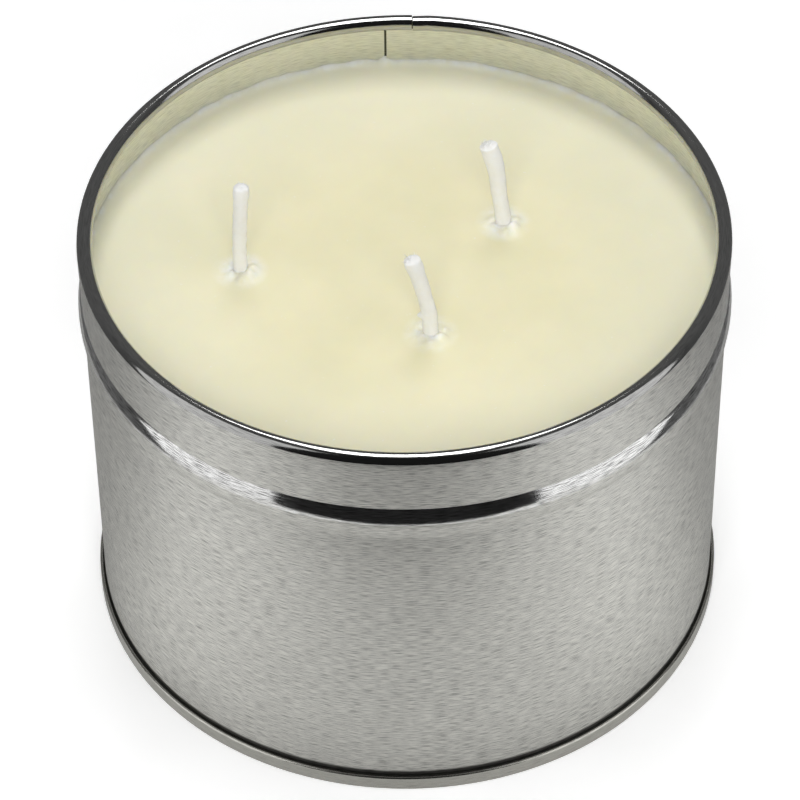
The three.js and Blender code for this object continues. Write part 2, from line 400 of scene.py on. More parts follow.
def tinplate(name, colour, roughness, anisotropy, grain, depth, crevice_shade_z=None):
    """Rolled tinplate: a fine grain along the sheet, short darker marks in it, and smudges.

    grain is how dark the marks are and depth how deep they go in metres. The last argument is the height
    of a crevice, along which the plate is darkened with painted shade.
    """
    made, tree, shader = material(name)
    sheet = add(tree, "ShaderNodeUVMap", uv_map="sheet").outputs[0]
    wander = noise_of(tree, stretched(tree, sheet, *WANDER), 1.0, 1.0)
    across = span(tree, wander, 0, 1, -WANDER_REACH, WANDER_REACH)
    shift = add(tree, "ShaderNodeCombineXYZ", {1: across}).outputs[0]
    bent = add(tree, "ShaderNodeVectorMath", {0: sheet, 1: shift}, operation="ADD").outputs[0]
    dashes = noise_of(tree, stretched(tree, bent, *DASH), 1.0, 3.0)
    lines = noise_of(tree, stretched(tree, bent, *LINE), 1.0)
    clouds = noise_of(tree, stretched(tree, sheet, *CLOUD), 1.0, 3.0, 0.6)

    dark = span(tree, dashes, 0.33, 0.55, 1 - 0.52 * grain, 1 + 0.06 * grain)
    faint = span(tree, lines, 0.3, 0.7, 1 - 0.1 * grain, 1 + 0.06 * grain)
    shade = maths(tree, "MULTIPLY", dark, faint)
    shade = maths(tree, "MULTIPLY", shade, span(tree, clouds, 0.3, 0.7, 0.95, 1.03))
    # Painted shade: the plate is darkened along the crevice at the given height
    if crevice_shade_z is not None:
        place = add(tree, "ShaderNodeTexCoord").outputs["Object"]
        height = add(tree, "ShaderNodeSeparateXYZ", {0: place}).outputs[2]
        off = maths(tree, "ABSOLUTE", maths(tree, "SUBTRACT", height, crevice_shade_z))
        unshaded = span(tree, off, CREVICE_SHADE_HALF_HEIGHT, CREVICE_SHADE_HALF_HEIGHT + CREVICE_SHADE_FADE, 0.14, 1.0)
        shade = maths(tree, "MULTIPLY", shade, unshaded)
    tree.links.new(tinted(tree, colour, shade), shader.inputs["Base Color"])

    rough = span(tree, clouds, 0.3, 0.7, roughness * 0.95, roughness * 1.06)
    rough = maths(tree, "ADD", rough, span(tree, lines, 0.3, 0.7, -0.03, 0.04))
    tree.links.new(rough, shader.inputs["Roughness"])

    relief_of(tree, shader, maths(tree, "ADD", dashes, maths(tree, "MULTIPLY", lines, 0.35)), depth)
    tangent = add(tree, "ShaderNodeTangent", None, direction_type="UV_MAP", uv_map="sheet")
    tree.links.new(tangent.outputs[0], shader.inputs["Tangent"])
    shader.inputs["Metallic"].default_value = 1.0
    shader.inputs["Anisotropic"].default_value = anisotropy
    shader.inputs["Anisotropic Rotation"].default_value = 0.25
    return made


def nearest_wick(tree, place):
    """The distance from a place to the nearest wick where it leaves the wax."""
    nearest = 1.0
    for x, y in WICK_PLACES.values():
        foot = {0: place, 1: (x, y, WAX_LEVEL)}
        gap = add(tree, "ShaderNodeVectorMath", foot, operation="DISTANCE").outputs[1]
        nearest = maths(tree, "MINIMUM", gap, nearest)
    return nearest


def wax_material():
    """Cream wax, cloudy, paler towards the wall as painted light, frosted at its edge and whiter by the
    wicks.
    """
    made, tree, shader = material("cream_wax")
    place = add(tree, "ShaderNodeTexCoord").outputs["Object"]
    flat = add(tree, "ShaderNodeVectorMath", {0: place, 1: (1, 1, 0)}, operation="MULTIPLY")
    out = add(tree, "ShaderNodeVectorMath", {0: flat.outputs[0]}, operation="LENGTH").outputs[1]
    clouds = noise_of(tree, place, 1 / (22 * MM), 3.0, 0.55)
    specks = noise_of(tree, place, 1 / (0.7 * MM), 1.0)
    frost = noise_of(tree, place, 1 / (2.5 * MM), 4.0, 0.65)

    cloudy = span(tree, clouds, 0.35, 0.65, 0, 1)
    cream = blend(tree, cloudy, (0.83, 0.79, 0.53, 1), (0.89, 0.84, 0.58, 1))
    edge = span(tree, out, BODY_RADIUS - 2.4 * MM, BODY_RADIUS - 0.5 * MM, 0.0, 1.0)
    edge = maths(tree, "MULTIPLY", edge, span(tree, frost, 0.35, 0.65, 0.35, 1.0))
    # Painted light: the wax grows paler towards the wall, and its frosted edge is paler still
    pale = span(tree, out, 24 * MM, 50 * MM, 0.0, 0.45)
    pale = maths(tree, "MAXIMUM", maths(tree, "MULTIPLY", edge, 0.9), pale)
    cream = blend(tree, pale, cream, (0.94, 0.94, 0.82, 1))
    by_wick = span(tree, nearest_wick(tree, place), 1.8 * MM, 5.0 * MM, 1.0, 0.0)
    lumpy = maths(tree, "MULTIPLY", by_wick, span(tree, frost, 0.4, 0.6, 0.35, 1.0))
    cream = blend(tree, lumpy, cream, (0.98, 0.97, 0.9, 1))
    cream = blend(tree, span(tree, specks, 0.77, 0.8, 0, 0.5), cream, (0.95, 0.94, 0.86, 1))
    tree.links.new(cream, shader.inputs["Base Color"])

    rough = span(tree, clouds, 0.3, 0.7, 0.36, 0.48)
    rough = maths(tree, "ADD", rough, maths(tree, "MULTIPLY", edge, 0.2))
    tree.links.new(rough, shader.inputs["Roughness"])
    relief = maths(tree, "ADD", maths(tree, "MULTIPLY", frost, 0.6), specks)
    relief_of(tree, shader, relief, 0.006 * MM)
    shader.inputs["IOR"].default_value = 1.44
    shader.inputs["Subsurface Weight"].default_value = 0.5
    shader.inputs["Subsurface Radius"].default_value = (1.0, 0.85, 0.5)
    shader.inputs["Subsurface Scale"].default_value = 2.5 * MM
    return made


def cotton_material():
    """White cotton threads, waxed here and there."""
    made, tree, shader = material("waxed_cotton")
    place = add(tree, "ShaderNodeTexCoord").outputs["Object"]
    threads = add(tree, "ShaderNodeUVMap", uv_map="braid").outputs[0]
    fibres = noise_of(tree, stretched(tree, threads, 1.2 * MM, 0.07 * MM), 1.0)
    wax = noise_of(tree, place, 1 / (1.3 * MM), 3.0, 0.6)
    waxed = span(tree, wax, 0.35, 0.65, 0, 1)
    white = blend(tree, waxed, (0.96, 0.955, 0.92, 1), (0.98, 0.98, 0.97, 1))
    white = blend(tree, span(tree, fibres, 0.3, 0.5, 0.2, 0), white, (0.87, 0.86, 0.82, 1))
    tree.links.new(white, shader.inputs["Base Color"])
    tree.links.new(span(tree, wax, 0.35, 0.65, 0.42, 0.75), shader.inputs["Roughness"])
    relief_of(tree, shader, maths(tree, "ADD", fibres, maths(tree, "MULTIPLY", wax, 0.8)), 0.03 * MM)
    shader.inputs["Subsurface Weight"].default_value = 0.3
    shader.inputs["Subsurface Radius"].default_value = (1.0, 0.9, 0.8)
    shader.inputs["Subsurface Scale"].default_value = 0.6 * MM
    return made


def dull_material(name, colour, roughness, mottle):
    """A plain moulded or poured material with a little unevenness, mottle metres in size."""
    made, tree, shader = material(name)
    place = add(tree, "ShaderNodeTexCoord").outputs["Object"]
    clouds = noise_of(tree, place, 1 / mottle, 4.0, 0.6)
    tint = tinted(tree, colour, span(tree, clouds, 0.3, 0.7, 0.86, 1.06))
    tree.links.new(tint, shader.inputs["Base Color"])
    rough = span(tree, clouds, 0.3, 0.7, roughness * 0.9, roughness)
    tree.links.new(rough, shader.inputs["Roughness"])
    relief_of(tree, shader, clouds, mottle / 30)
    return made


# ---------------------------------------------------------------- tin body


def wall_section(from_z, to_z):
    """The middle of the wall between two heights, going up: waist, bead and flared neck."""
    wall = BODY_RADIUS - PLATE / 2
    neck = TIN_RADIUS - PLATE / 2
    peak = BEAD_RADIUS - PLATE / 2
    rise = peak - wall
    bead = (BEAD_HALF_HEIGHT**2 + rise**2) / (2 * rise)
    centre = peak - bead
    low = BEAD_Z - BEAD_HALF_HEIGHT
    high = BEAD_Z + bead * math.sin(math.acos((neck - centre) / bead))

    def radius(z):
        if z < low:
            drawn = smooth_step((z - (low - WAIST_HEIGHT)) / WAIST_HEIGHT) ** 2
            return wall - WAIST_DEPTH * drawn
        if z > high:
            return neck - NECK_FLARE * (1 - (z - high) / (RIM_Z - 2 * CURL_RADIUS - high))
        return centre + math.sqrt(bead**2 - (z - BEAD_Z) ** 2)

    def rounded(z):
        near = np.linspace(-BEAD_EDGE, BEAD_EDGE, 9)
        return float(np.mean([radius(z + d) for d in near]))

    heights = np.concatenate(
        [
            np.arange(from_z, low - BEAD_MARGIN, WALL_STEP),
            np.arange(low - BEAD_MARGIN, high + BEAD_MARGIN, BEAD_STEP),
            np.linspace(high + BEAD_MARGIN, to_z, 8),
        ]
    )
    return [(rounded(z), z) for z in heights]


def body_section():
    """The middle of the whole body sheet: seam hook, wall, curl."""
    wall = BODY_RADIUS - PLATE / 2
    hook = wall + 2 * SEAM_PITCH
    foot = BODY_LOW[2] + PLATE / 2 + HOOK_CORNER
    curl = CURL_RADIUS - PLATE / 2
    curl_z = RIM_Z - CURL_RADIUS
    return [
        *spaced((hook, HOOK_TOP), (hook, foot), 3),
        *arc(hook - HOOK_CORNER, foot, HOOK_CORNER, 0, -90, 5),
        *arc(wall + HOOK_CORNER, foot, HOOK_CORNER, -90, -180, 5),
        *wall_section(foot + 0.4 * MM, curl_z - 0.2 * MM),
        *arc(TIN_RADIUS - CURL_RADIUS, curl_z, curl, 0, CURL_END_DEG, CURL_STEPS),
    ]


def wall_ripple(angle, r, z):
    """The wall isn't quite true: long shallow waves of a few hundredths of a millimetre."""
    if r < TIN_RADIUS - 2.2 * CURL_RADIUS:
        return 0.0
    a = radians(angle)
    around = Vector((math.sin(a), math.cos(a), z / RIPPLE_HEIGHT))
    fade = smooth_step((z - 3 * MM) / (12 * MM))
    return float(RIPPLE * noise.noise(around * 2.3) * fade)


def finish_of(middle, normal):
    """Which finish a face of the body has. Rolling has polished the curl and rubbed the bead."""
    if in_crevice(middle, normal):
        return "shadowed"
    inner = middle.xy.length < TIN_RADIUS - 1.5 * PLATE
    if middle.z > RIM_Z - (2 if inner else CURL_SHINE) * CURL_RADIUS:
        return "curled"
    if BEAD_SHINE < middle.z - BEAD_Z < BEAD_HALF_HEIGHT:
        return "rubbed"
    return "satin" if normal.xy.dot(middle.xy) > 0 else "inner"


def in_crevice(middle, normal):
    """Whether a face lies in the corner beside a cut edge of the lapped side seam."""
    angle = math.degrees(math.atan2(middle.x, middle.y))
    if middle.z > RIM_Z - 2 * CURL_RADIUS:
        curl_middle = (TIN_RADIUS - CURL_RADIUS, RIM_Z - CURL_RADIUS)
        inside = math.dist((middle.xy.length, middle.z), curl_middle) < CURL_RADIUS - 1.05 * PLATE
        return inside and abs(angle - LAP_TO_DEG) < TONGUE_DEG + SLIT_DEG
    if middle.z < LAP_FOOT_Z:
        return False
    if normal.xy.dot(middle.xy) < 0:
        return LAP_FROM_DEG - CREVICE_DEG < angle < LAP_FROM_DEG
    return LAP_TO_DEG < angle < LAP_TO_DEG + SLIT_DEG + CREVICE_DEG / 2


def body_angles():
    """Where the body's sheet has its columns, from one end of the lap round to the other."""
    free = LAP_TO_DEG + SLIT_DEG
    lap = [*np.arange(LAP_FROM_DEG, LAP_TO_DEG, LAP_STEP_DEG), LAP_TO_DEG]
    slit = [free - TONGUE_STEP_DEG, free]
    around = np.linspace(free, 360 + LAP_TO_DEG, BODY_COLUMNS)[1:]
    corners = [360 + LAP_FROM_DEG - CREVICE_DEG, 360 + LAP_FROM_DEG, free + CREVICE_DEG]
    return np.array(sorted([*lap, *slit, *around, *corners]))


def settled(angle, r, z):
    """The body's ripple. At the lap, one end's curl is a smaller tongue inside the other's."""
    on_tongue = angle < LAP_TO_DEG + SLIT_DEG - TONGUE_STEP_DEG / 2
    curled = z > RIM_Z - CURL_RADIUS or r < TIN_RADIUS - CURL_RADIUS
    if not (on_tongue and curled):
        return wall_ripple(angle, r, z), 0.0
    nested = (PLATE + LAP_GAP) / (CURL_RADIUS - PLATE / 2)
    out = PLATE + LAP_GAP - (r - TIN_RADIUS + CURL_RADIUS) * nested
    return out, -(z - RIM_Z + CURL_RADIUS) * nested


def tin_body(finishes):
    section = body_section()
    heights = np.array([z for _, z in section])
    angles = body_angles()
    free = LAP_TO_DEG + SLIT_DEG
    inset = (PLATE + LAP_GAP) * (1 - smooth_step((angles - free) / LAP_RAMP_DEG))

    # The lap's inner layer has no foot and, apart from its tongue, no curl
    rows = np.arange(len(section) - 1)
    first_wall = np.argmax(heights > LAP_FOOT_Z)
    starts = angles[:-1]
    lapped = starts < free - TONGUE_STEP_DEG / 2
    keep = np.ones((len(starts), len(rows)), bool)
    keep[lapped] = (rows >= first_wall) & (rows < len(section) - CURL_STEPS - 3)
    keep[lapped & (starts > LAP_TO_DEG - TONGUE_DEG)] = rows >= first_wall

    bm = sheet_mesh(section, angles, keep=keep, inset=inset, ripple=settled)
    bmesh.ops.recalc_face_normals(bm, faces=bm.faces)
    for face in bm.faces:
        finish = finish_of(face.calc_center_median(), face.normal)
        face.material_index = list(finishes).index(finish)
    made = object_of("tin_body_sheet", bm, *finishes.values())
    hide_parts("tin_body")
    return made


# ---------------------------------------------------------------- base


def base_section():
    recess = BODY_RADIUS - PLATE / 2 - SEAM_PITCH
    outer = recess + 4 * SEAM_PITCH
    hook = recess + 2 * SEAM_PITCH
    foot = PLATE / 2
    fold = (outer - hook) / 2
    top = SEAM_HEIGHT - PLATE / 2 - fold
    ring = [
        (
            PANEL_RING_RADIUS + at * PANEL_RING_HALF_WIDTH,
            PANEL_Z - PANEL_RING_DEPTH * math.cos(at * math.pi / 2) ** 2,
        )
        for at in np.linspace(-1, 1, 17)
    ]
    return [
        *spaced((0, PANEL_Z), ring[0], 16),
        *ring,
        *arc(recess - PANEL_CORNER, PANEL_Z - PANEL_CORNER, PANEL_CORNER, 90, 0, 8),
        *arc(recess + SEAM_CORNER, foot + SEAM_CORNER, SEAM_CORNER, 180, 270, 8),
        *arc(outer - SEAM_CORNER, foot + SEAM_CORNER, SEAM_CORNER, -90, 0, 8),
        *arc(hook + fold, top, fold, 0, 180, 14),
        (hook, HOOK_FOOT),
    ]


def base_end(plate):
    bm = sheet_mesh(base_section(), np.arange(0, 360, 1.0), wrap=True)
    uv = bm.loops.layers.uv["sheet"]
    for face in bm.faces:
        if face.calc_center_median().xy.length < FLAT_GRAIN_RADIUS:
            for loop in face.loops:
                loop[uv].uv = loop.vert.co.xy
    made = object_of("base_end_pressing", bm, plate)
    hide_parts("base_end")
    return made


def base_sealant(compound):
    low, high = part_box("base_seam_sealant")
    outer = high[0]
    inner = BODY_RADIUS + SEAM_PITCH + (SEAM_PITCH - PLATE)
    middle_r, middle_z = (outer + inner) / 2, (low[2] + high[2]) / 2
    half_r, half_z = (outer - inner) / 2, (high[2] - low[2]) / 2
    squareness = 0.5
    turns = np.linspace(0, 2 * math.pi, 12, endpoint=False)

    def eased(x):
        return math.copysign(abs(x) ** squareness, x)

    outline = [
        (middle_r + half_r * eased(math.cos(a)), middle_z + half_z * eased(math.sin(a)))
        for a in turns
    ]
    made = object_of("base_seam_compound", turned_mesh(outline, 240), compound)
    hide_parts("base_seam_sealant")
    return made


# ---------------------------------------------------------------- wax


def wick_place(side):
    low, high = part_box(f"{side}_wick_sticker")
    return ((low[0] + high[0]) / 2, (low[1] + high[1]) / 2)


def lap_inset(angle):
    """How far the inner layer of the side seam stands in from the wall at an angle."""
    angle = (angle + 180) % 360 - 180
    if angle < LAP_FROM_DEG:
        return 0.0
    ramp = (angle - LAP_TO_DEG - SLIT_DEG) / LAP_RAMP_DEG
    return (PLATE + LAP_GAP) * float(1 - smooth_step(ramp))


WALL_LINE = np.array(wall_section(WAX_FLOOR_Z - 2 * MM, RIM_Z - 2 * CURL_RADIUS))
WICK_PLACES = {side: wick_place(side) for side in WICKS}
WAX_RIM = BODY_RADIUS - PLATE - WAX_EDGE_GAP


def wax_edge(angle, z):
    """The radius at which the wax meets the inside of the wall."""
    wall = float(np.interp(z, WALL_LINE[:, 1], WALL_LINE[:, 0])) - PLATE / 2
    return wall - lap_inset(angle) + wall_ripple(angle, wall, z) - WAX_EDGE_GAP


def edge_ring(z):
    """The wax's edge at a height, as points round the tin."""
    return [place_at(wax_edge(angle, z), angle, z) for angle in WAX_TURNS]


def wax_height(x, y):
    """The wax's surface: slow swells, a ragged climb up the wall, and a mound at each wick."""
    angle = math.degrees(math.atan2(x, y))
    flat = Vector((x, y, 0))
    inward = wax_edge(angle, WAX_LEVEL) - flat.length
    along = flat / (2.2 * MM)
    width = MENISCUS_WIDTH * (1 + 0.4 * noise.noise(along))
    rise = MENISCUS_RISE * (1 + 0.55 * noise.noise(along * 0.6 + Vector((7, 0, 0))))
    climb = rise * max(0.0, 1 - inward / width) ** 2
    to_lap = radians(angle - LAP_FROM_DEG + 0.4) * TIN_RADIUS
    peak = LAP_PEAK_HEIGHT * math.exp(-((to_lap / LAP_PEAK_WIDTH) ** 2))
    climb += peak * max(0.0, 1 - inward / LAP_PEAK_REACH)
    swell = 0.14 * MM * noise.noise(flat / (17 * MM)) + 0.03 * MM * noise.noise(flat / (4 * MM))
    for place in WICK_PLACES.values():
        from_wick = math.dist((x, y), place)
        if from_wick > 2 * MOUND_RADIUS:
            continue
        lumps = noise.noise(flat / (1.3 * MM)) + 0.4 * noise.noise(flat / (0.6 * MM))
        near = math.exp(-((from_wick / (0.5 * MOUND_RADIUS)) ** 2))
        swell += 0.6 * MM * near + 0.5 * MM * lumps * near
        for right, up, radius, height in DRIPS:
            off = math.dist((x, y), (place[0] + right, place[1] + up))
            swell += height * math.exp(-((off / radius) ** 2))
    return WAX_LEVEL + climb + swell


def rings_round(centre, radii, pitch):
    """Points on rings round a centre, about one pitch apart, each ring turned a little more."""
    points = []
    for number, radius in enumerate(radii):
        count = max(8, round(2 * math.pi * radius / pitch(radius)))
        turns = (np.arange(count) + 0.38 * number) * 2 * math.pi / count
        points += [(centre[0] + radius * math.cos(a), centre[1] + radius * math.sin(a)) for a in turns]
    return points


def filled(outer, holes, loose):
    """Triangles between an outer ring and some holes, through loose points between them."""
    points = list(outer)
    borders = []
    middles = []
    for hole in holes:
        first = len(points)
        points += hole
        borders += [(first + i, first + (i + 1) % len(hole)) for i in range(len(hole))]
        flat = np.array(hole)[:, :2]
        middles.append((np.mean(flat, axis=0), np.ptp(flat[:, 0]) / 2))
    borders += [(i, (i + 1) % len(outer)) for i in range(len(outer))]
    points += loose
    scaled = [Vector(p[:2]) / MM for p in points]
    places, _, triangles, sources, _, _ = delaunay_2d_cdt(scaled, borders, [], 0, 1e-5)
    origin = [source[0] for source in sources]
    kept = []
    for triangle in triangles:
        centre = np.mean([places[i] for i in triangle], axis=0) * MM
        if all(np.linalg.norm(centre - middle) > 0.985 * radius for middle, radius in middles):
            kept.append([origin[i] for i in triangle])
    return points, kept


def well_profile(side):
    """The space that a sticker, a sustainer and a wick take out of the wax, from its foot up."""
    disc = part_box(f"{side}_wick_sustainer")
    radius = (disc[1][0] - disc[0][0]) / 2 + WAX_EDGE_GAP
    disc_top = disc[0][2] + SUSTAINER_PLATE + WAX_EDGE_GAP
    collar = COLLAR_BORE + SUSTAINER_PLATE + WAX_EDGE_GAP
    collar_top = disc[1][2] + WAX_EDGE_GAP
    fillet = SUSTAINER_FILLET - SUSTAINER_PLATE
    turn = arc(collar + fillet, disc_top + fillet, fillet, 270, 180, 6)
    return [(radius, WAX_FLOOR_Z), (radius, disc_top), *turn, (collar, collar_top)]


def ellipse(centre, half_x, half_y, z):
    turns = np.arange(WELL_SIDES) * 2 * math.pi / WELL_SIDES
    x, y = centre
    return [(x + half_x * math.cos(a), y + half_y * math.sin(a), z) for a in turns]


def wick_ring(side, z):
    """The outline of an upright wick, as far into its braid as the wax reaches."""
    return ellipse(WICK_PLACES[side], WICK_HALF_WIDTH * WAX_GRIP, WICK_HALF_DEPTH * WAX_GRIP, z)


def clear_of_wicks(points, reach):
    return [p for p in points if all(math.dist(p, wick) > reach for wick in WICK_PLACES.values())]


def surface_points():
    """Points over the wax's top: coarse rings, and finer ones by each wick and by the wall."""
    coarse = np.arange(0, WAX_RIM - WAX_RIM_WIDTH, WAX_RING_PITCH)
    points = clear_of_wicks(rings_round((0, 0), coarse, lambda r: WAX_RING_PITCH), MOUND_RADIUS)
    fine = np.geomspace(1.55 * MM, MOUND_RADIUS - 0.3 * MM, 12)
    for place in WICK_PLACES.values():
        points += rings_round(place, fine, lambda r: 0.16 * r + 0.05 * MM)
    for inward in np.geomspace(0.25 * MM, WAX_RIM_WIDTH, 8):
        every = 1 if inward < 1.4 * MM else 2
        for angle in WAX_TURNS[::every]:
            points.append(place_at(wax_edge(angle, WAX_LEVEL) - inward, angle, WAX_LEVEL)[:2])
    return points


def floor_points(mouth_radius):
    """Points under the wax, sparse, clear of the mouths where the sustainers stand."""
    sparse = rings_round((0, 0), np.arange(0, WAX_RIM - 4 * MM, 5 * MM), lambda r: 5 * MM)
    return clear_of_wicks(sparse, mouth_radius + 2 * MM)


def bridge(bm, start, rings, end):
    """Faces from one ring of vertices to another, through rings of points between them."""
    last = start
    for points in rings:
        ring = [bm.verts.new(p) for p in points]
        strip(bm, last, ring)
        last = ring
    strip(bm, last, end)


def wax_pour(wax):
    profiles = {side: well_profile(side) for side in WICKS}
    holes = [wick_ring(side, WAX_LEVEL) for side in WICKS]
    mouths = []
    for side, profile in profiles.items():
        r, z = profile[0]
        mouths.append(ellipse(WICK_PLACES[side], r, r, z))
    rim = edge_ring(WAX_LEVEL + MENISCUS_RISE)
    top, top_faces = filled(rim, holes, surface_points())
    mouth_radius = profiles["left"][0][0]
    floor, floor_faces = filled(edge_ring(WAX_FLOOR_Z), mouths, floor_points(mouth_radius))

    bm = bmesh.new()
    above = [bm.verts.new((p[0], p[1], wax_height(p[0], p[1]))) for p in top]
    below = [bm.verts.new((p[0], p[1], WAX_FLOOR_Z)) for p in floor]
    for verts, faces in ((above, top_faces), (below, floor_faces)):
        for face in faces:
            bm.faces.new([verts[i] for i in face])

    wall = [z for _, z in wall_section(WAX_FLOOR_Z, WAX_LEVEL) if z > WAX_FLOOR_Z + 0.4 * MM][::2]
    edges = [edge_ring(z) for z in wall if z < WAX_LEVEL - 0.2 * MM]
    bridge(bm, below[:WAX_COLUMNS], edges, above[:WAX_COLUMNS])
    for number, (side, profile) in enumerate(profiles.items()):
        first = WAX_COLUMNS + number * WELL_SIDES
        well = slice(first, first + WELL_SIDES)
        rings = [ellipse(WICK_PLACES[side], r, r, z) for r, z in profile[1:]]
        collar_top = profile[-1][1]
        rings += [wick_ring(side, z) for z in (collar_top + 0.1 * MM, WAX_LEVEL - 1 * MM)]
        bridge(bm, below[well], rings, above[well])
    made = object_of("poured_wax", bm, wax, sharp_deg=60)
    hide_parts("wax_fill")
    return made


# ---------------------------------------------------------------- wicks and what holds them


def catmull_rom(points, steps):
    """A smooth line through points, with so many steps between each two."""
    ends = [2 * points[0] - points[1], *points, 2 * points[-1] - points[-2]]
    line = []
    for a, b, c, d in zip(ends, ends[1:], ends[2:], ends[3:]):
        for i in range(steps):
            t = i / steps
            line.append(
                0.5 * (2 * b + (c - a) * t + (2 * a - 5 * b + 4 * c - d) * t**2
                       + (3 * b - a - 3 * c + d) * t**3)
            )
    return [*line, points[-1]]


def wick_line(side):
    """The middle of a wick as points, from its foot up."""
    x, y = WICK_PLACES[side]
    low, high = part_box(f"{side}_wick")
    height = high[2] - 0.25 * MM - WICKS[side]["bulge"] - WAX_LEVEL
    shape = []
    for share, dx, dy in WICKS[side]["lean"]:
        shape.append(Vector((x + dx * MM, y + dy * MM, WAX_LEVEL + share * height)))
    below = [Vector((x, y, z)) for z in np.arange(low[2], WAX_LEVEL - 0.3 * MM, 0.45 * MM)]
    return below + catmull_rom(shape, 34)


def braid(turn, along):
    """Height from 0 to 1 of a plain braid at an angle (radians) and a length (metres)."""
    run = 2 * math.pi * along / BRAID_PITCH * BRAID_STRANDS / 2
    u, v = (turn * BRAID_STRANDS + run) / 2, (turn * BRAID_STRANDS - run) / 2
    over = (math.floor(u / math.pi) + math.floor(v / math.pi)) % 2
    across, length = (u, v) if over else (v, u)
    return math.sqrt(abs(math.sin(across))) * (0.45 + 0.55 * abs(math.sin(length)))


def fibre(bm, start, heading, length, radius, rng):
    """One loose cotton fibre: a thin tapering tube that bends as it goes."""
    sides, steps = 4, 4
    rings = []
    at, way = start.copy(), heading.normalized()
    for step in range(steps):
        across = way.orthogonal().normalized()
        beside = way.cross(across)
        thin = radius * (1 - 0.8 * step / (steps - 1))
        ring = []
        for i in range(sides):
            a = 2 * math.pi * i / sides
            ring.append(bm.verts.new(at + (across * math.cos(a) + beside * math.sin(a)) * thin))
        rings.append(ring)
        bend = Vector((rng.uniform(-1, 1), rng.uniform(-1, 1), rng.uniform(-0.6, 0.6)))
        way = (way + 0.45 * bend).normalized()
        at = at + way * length / (steps - 1)
    tube(bm, rings)


def braid_ring(side, share, height, middle, along, length, scale, relief):
    """A ring round a wick: its points, each with its place on the braid.

    share is how far up the wick the ring is, from the wax (0) to the cut end (1), height above.
    """
    beside = Vector((0, 1, 0)).cross(along).normalized()
    front = along.cross(beside)
    bump = WICKS[side]["bump"]
    ring = []
    for i in range(BRAID_SIDES):
        a = 2 * math.pi * i / BRAID_SIDES
        out = beside * math.cos(a) * WICK_HALF_WIDTH + front * math.sin(a) * WICK_HALF_DEPTH
        lift = relief * (braid(a, length) - 0.5)
        lift += 0.05 * MM * noise.noise((middle + out) / (1.7 * MM))
        if bump is not None:
            off = math.hypot((share - bump) * height, (a - math.pi) * WICK_HALF_WIDTH)
            lift += 0.7 * MM * math.exp(-((off / (0.55 * MM)) ** 2))
        point = middle + out * scale + out.normalized() * lift
        ring.append((point, (length, a * WICK_HALF_WIDTH)))
    return ring


def fray(bm, end, along, scale, bulge, rng):
    """The short fibres that stand out of a wick's cut end."""
    for _ in range(FRAYED_FIBRES):
        a, reach = rng.uniform(0, 2 * math.pi), math.sqrt(rng.uniform(0, 1))
        out = Vector((math.cos(a) * WICK_HALF_WIDTH, math.sin(a) * WICK_HALF_DEPTH, 0))
        out *= reach * scale
        start = end + along * bulge * (0.6 - 0.7 * reach**2) + out * 0.9
        heading = along + out.normalized() * rng.uniform(0.1, 0.9)
        fibre(bm, start, heading, rng.uniform(0.35, 0.9) * MM, 0.045 * MM, rng)


def loose_fibres(bm, line, along, rng):
    """The fibres that stand off a wick's side above the wax."""
    for _ in range(LOOSE_FIBRES):
        i = rng.randrange(len(line) - LOOSE_REACH, len(line) - 4)
        a = rng.uniform(0, 2 * math.pi)
        out = Vector((math.cos(a) * WICK_HALF_WIDTH, math.sin(a) * WICK_HALF_DEPTH, 0))
        heading = out.normalized() * 0.5 + along
        fibre(bm, line[i] + out * 0.93, heading, rng.uniform(0.3, 0.6) * MM, 0.025 * MM, rng)


def braided_wick(side, cotton):
    line = wick_line(side)
    end, bulge = line[-1], WICKS[side]["bulge"]
    height = end.z - WAX_LEVEL
    lengths = np.concatenate([[0], np.cumsum([(b - a).length for a, b in zip(line, line[1:])])])
    width_at, widths = zip(*WICKS[side]["width"])

    rings = []
    for before, middle, after, length in zip([line[0], *line], line, [*line[1:], end], lengths):
        along = (after - before).normalized()
        share = min(1.0, max(0.0, (middle.z - WAX_LEVEL) / height))
        scale = float(np.interp(share, width_at, widths))
        rings.append(braid_ring(side, share, height, middle, along, length, scale, BRAID_RELIEF))
    for turn in np.radians(CUT_END_DEGREES):
        middle = end + along * bulge * math.sin(turn)
        thin = scale * math.cos(turn)
        rings.append(braid_ring(side, 1.0, height, middle, along, lengths[-1], thin, CUT_END_RELIEF))

    bm = bmesh.new()
    uv = bm.loops.layers.uv.new("braid")
    place = {}
    verts = []
    for ring in rings:
        verts.append([bm.verts.new(point) for point, _ in ring])
        place.update(zip(verts[-1], [spot for _, spot in ring]))
    tube(bm, verts)
    for face in bm.faces:
        for loop in face.loops:
            loop[uv].uv = place[loop.vert]
    rng = random.Random(side)
    fray(bm, end, along, scale, bulge, rng)
    loose_fibres(bm, line, along, rng)
    made = object_of(f"{side}_wick_braid", bm, cotton, sharp_deg=70)
    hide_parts(f"{side}_wick")
    return made


